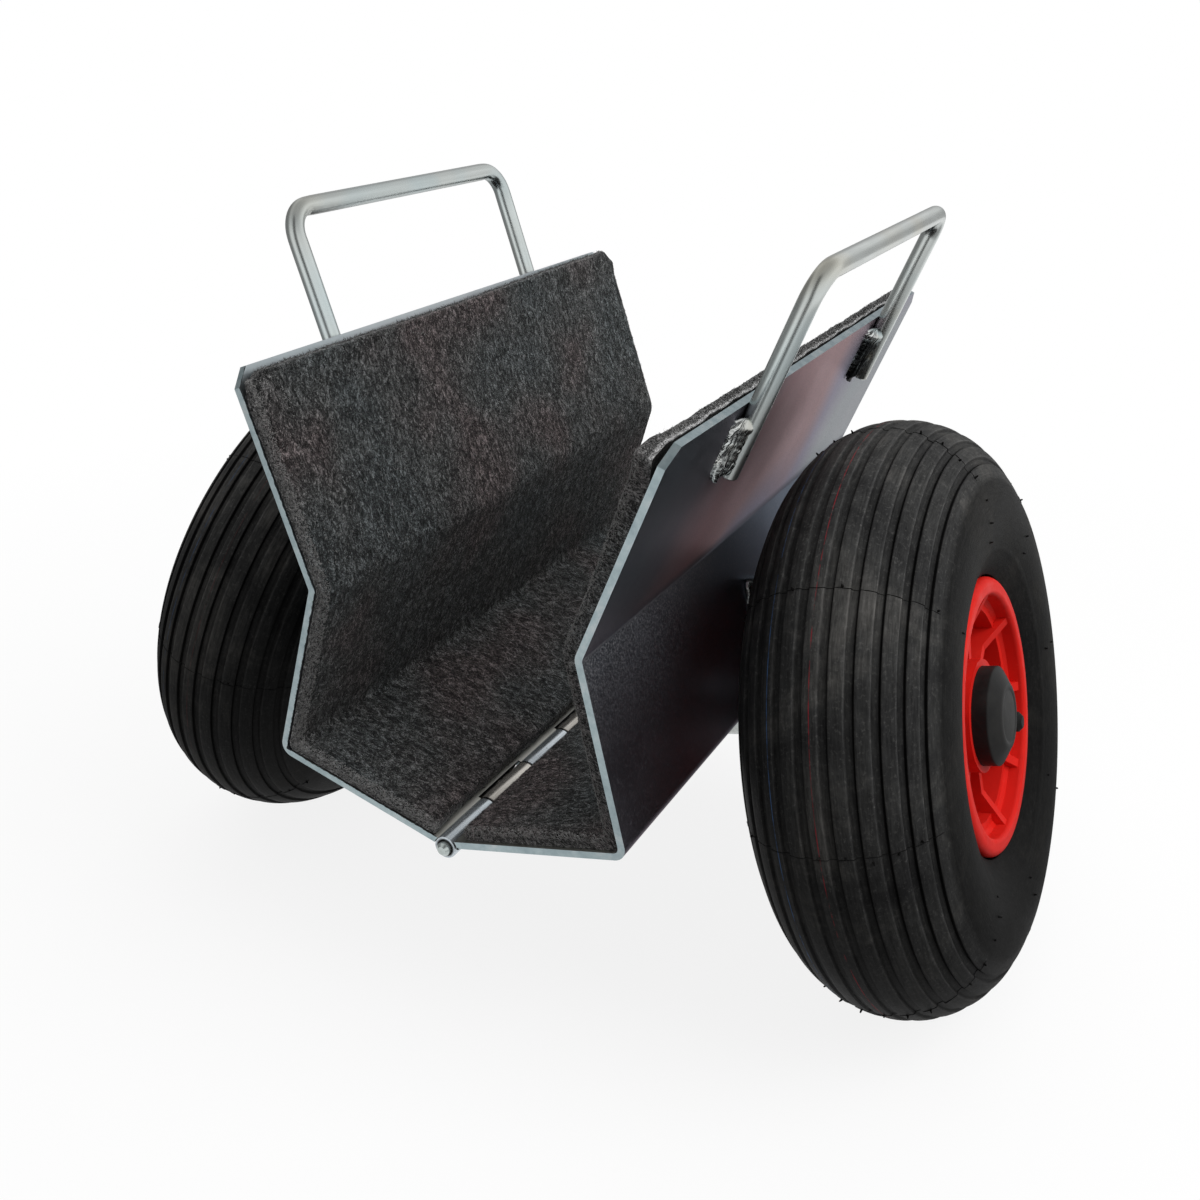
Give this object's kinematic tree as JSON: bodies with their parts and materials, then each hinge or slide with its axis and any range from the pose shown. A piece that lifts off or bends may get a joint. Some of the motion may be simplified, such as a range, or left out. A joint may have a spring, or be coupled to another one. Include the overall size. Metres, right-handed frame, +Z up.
{
  "type": "panel dolly",
  "caption": "Self-clamping panel dolly: hinged, felt-lined folded steel jaws with bar handles on cambered pneumatic wheels; a panel's weight closes the jaws on it.",
  "frame": {"origin": "on the ground under the middle of the hinge pin", "axes": "+X to the right across the dolly, +Y along the hinge pin to the back, +Z up"},
  "size_m": [0.43, 0.305, 0.3339],
  "materials": {
    "zinc_sheet": "satin",
    "zinc_bar": "satin",
    "spring_steel": "satin",
    "weld_bead": "rough",
    "felt": "matte",
    "tyre": "satin",
    "rubber": "matte",
    "red_plastic": "gloss",
    "black_plastic": "satin",
    "nylon": "matte"
  },
  "bodies": {
    "hinge": {"hinge_pin": "zinc_bar"},
    "left_jaw": {"left_side_plate": "zinc_sheet", "left_felt_lining": "felt", "left_hinge_knuckles": "zinc_bar", "left_hinge_welds": "weld_bead", "left_handle": "zinc_bar", "left_handle_welds": "weld_bead", "left_axle_gusset": "zinc_sheet", "left_axle_welds": "weld_bead", "left_stub_axle": "zinc_bar", "left_axle_collar": "zinc_bar", "left_axle_washers": "zinc_bar", "left_axle_circlip": "spring_steel"},
    "right_jaw": {"right_side_plate": "zinc_sheet", "right_felt_lining": "felt", "right_hinge_knuckles": "zinc_bar", "right_hinge_welds": "weld_bead", "right_handle": "zinc_bar", "right_handle_welds": "weld_bead", "right_axle_gusset": "zinc_sheet", "right_axle_welds": "weld_bead", "right_stub_axle": "zinc_bar", "right_axle_collar": "zinc_bar", "right_axle_washers": "zinc_bar", "right_axle_circlip": "spring_steel"},
    "left_wheel": {"left_hub_bushes": "nylon", "left_rim": "red_plastic", "left_tyre": "tyre", "left_inner_tube": "rubber", "left_valve_stem": "rubber", "left_valve_cap": "black_plastic", "left_hub_cap": "black_plastic"},
    "right_wheel": {"right_hub_bushes": "nylon", "right_rim": "red_plastic", "right_tyre": "tyre", "right_inner_tube": "rubber", "right_valve_stem": "rubber", "right_valve_cap": "black_plastic", "right_hub_cap": "black_plastic"}
  },
  "joints": [
    {"name": "left_jaw_swing", "type": "hinge", "parent": "hinge", "child": "left_jaw", "pos_m": [0, 0, 0.09721], "axis": [0, 1, 0], "range_deg": [-15, 23.8]},
    {"name": "right_jaw_swing", "type": "hinge", "parent": "hinge", "child": "right_jaw", "pos_m": [0, 0, 0.09721], "axis": [0, -1, 0], "range_deg": [-15, 23.8]},
    {"name": "left_wheel_spin", "type": "hinge", "parent": "left_jaw", "child": "left_wheel", "pos_m": [-0.14989, 0, 0.12702], "axis": [-0.9659, 0, 0.2588], "continuous": true},
    {"name": "right_wheel_spin", "type": "hinge", "parent": "right_jaw", "child": "right_wheel", "pos_m": [0.14989, 0, 0.12702], "axis": [0.9659, 0, 0.2588], "continuous": true}
  ]
}
